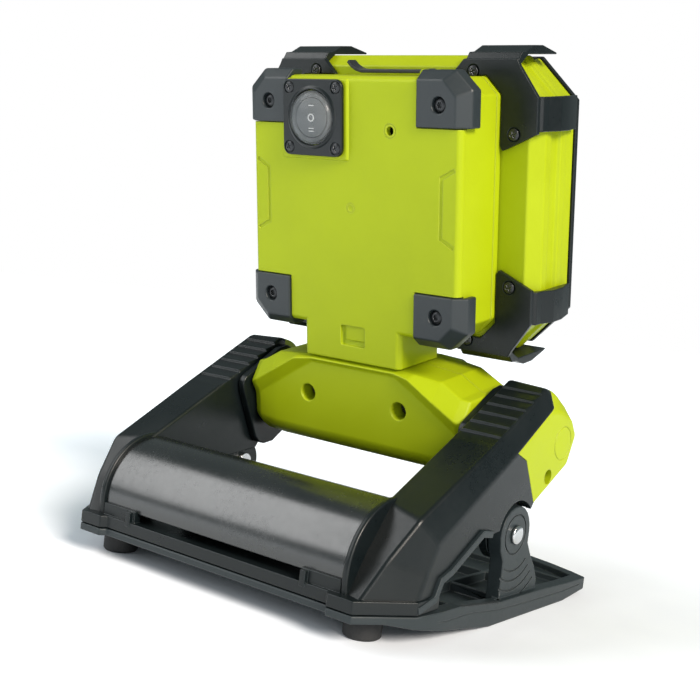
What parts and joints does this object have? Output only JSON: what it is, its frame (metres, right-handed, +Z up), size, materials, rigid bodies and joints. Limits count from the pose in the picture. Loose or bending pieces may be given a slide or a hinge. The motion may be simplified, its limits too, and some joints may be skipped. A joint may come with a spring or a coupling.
{
  "type": "clamp base work light",
  "caption": "Rechargeable square work light with its battery case on the back, on a tilting cross bar carried by a spring clamp base.",
  "frame": {"origin": "centre of the bounding box's base, on the floor the clamp base stands on", "axes": "+Z up from the floor, +Y from the clamp's mouth to its paddle, which is the way the lamp shines, and +X to the right as seen from the switch's side"},
  "size_m": [0.198, 0.19, 0.2597],
  "materials": {
    "green_shell": "moulded, satin",
    "black_shell": "moulded, satin",
    "matte_black": "moulded, matte",
    "black_rubber": "matte",
    "steel": "plated",
    "dark_steel": "black oxide",
    "smoke_boot": "clear flexible plastic, smoky",
    "clear_lens": "clear plastic",
    "reflector": "bright",
    "board": "circuit board",
    "aluminium": "die cast",
    "cell_wrap": "shrink wrap over a steel can"
  },
  "bodies": {
    "lower_jaw": {"lower_jaw": "matte_black", "lower_jaw_pad": "black_rubber", "foot_front_left": "black_rubber", "foot_front_right": "black_rubber", "hinge_pin_left": "steel", "hinge_pin_right": "steel"},
    "upper_jaw": {"upper_jaw": "black_shell", "upper_jaw_pad": "black_rubber", "spring_left": "steel", "spring_right": "steel", "arm_cover_left": "green_shell", "arm_cover_right": "green_shell", "arm_cover_screw_left": "dark_steel", "arm_cover_screw_right": "dark_steel"},
    "tilt_bar": {"tilt_bar_rear": "green_shell", "tilt_bar_front": "green_shell", "bar_screw_left": "dark_steel", "bar_screw_right": "dark_steel", "tilt_collar_left": "black_shell", "tilt_collar_right": "black_shell", "tilt_bolt_left": "dark_steel", "tilt_bolt_right": "dark_steel"},
    "head": {"battery_case": "green_shell", "lamp_housing": "green_shell", "switch_body": "black_shell", "front_bezel": "black_shell", "corner_guard_top_left": "black_shell", "corner_guard_top_right": "black_shell", "corner_guard_bottom_left": "black_shell", "corner_guard_bottom_right": "black_shell", "switch_plate": "matte_black", "bumper_top_left": "matte_black", "bumper_top_right": "matte_black", "bumper_bottom_left": "matte_black", "bumper_bottom_right": "matte_black", "lens_gasket": "black_rubber", "charge_port_cover": "black_rubber", "swivel_washer": "steel", "swivel_nut": "steel", "hook_pin": "steel", "switch_screw_1": "steel", "switch_screw_2": "steel", "switch_screw_3": "steel", "switch_screw_4": "steel", "swivel_bolt": "dark_steel", "bumper_screw_top_left": "dark_steel", "bumper_screw_top_right": "dark_steel", "bumper_screw_bottom_left": "dark_steel", "bumper_screw_bottom_right": "dark_steel", "switch_boot": "smoke_boot", "lens": "clear_lens", "reflector": "reflector", "led_board": "board", "control_board": "board", "heat_sink": "aluminium", "battery_cell_1": "cell_wrap", "battery_cell_2": "cell_wrap", "battery_cell_3": "cell_wrap"},
    "rocker": {"switch_rocker": "matte_black"},
    "hook": {"hanging_hook": "dark_steel"}
  },
  "joints": [
    {"name": "jaw_open", "type": "hinge", "parent": "lower_jaw", "child": "upper_jaw", "pos_m": [0, 0.004, 0.0385], "axis": [-1, 0, 0], "range_deg": [0, 28], "stiffness_Nm_per_rad": 2, "springref_deg": -34.38},
    {"name": "bar_tilt", "type": "hinge", "parent": "upper_jaw", "child": "tilt_bar", "pos_m": [0, 0.0191, 0.0855], "axis": [1, 0, 0], "range_deg": [-40, 20]},
    {"name": "head_pan", "type": "hinge", "parent": "tilt_bar", "child": "head", "pos_m": [0, 0.0191, 0.0855], "axis": [0, -0.1908, 0.9816], "range_deg": [-90, 90]},
    {"name": "switch_rock", "type": "hinge", "parent": "head", "child": "rocker", "pos_m": [-0.0204, -0.02978, 0.21651], "axis": [1, 0, 0], "range_deg": [-8, 8]},
    {"name": "hook_swing", "type": "hinge", "parent": "head", "child": "hook", "pos_m": [0.0274, -0.0072, 0.24175], "axis": [0, 0.9816, 0.1908], "range_deg": [0, 90]}
  ]
}
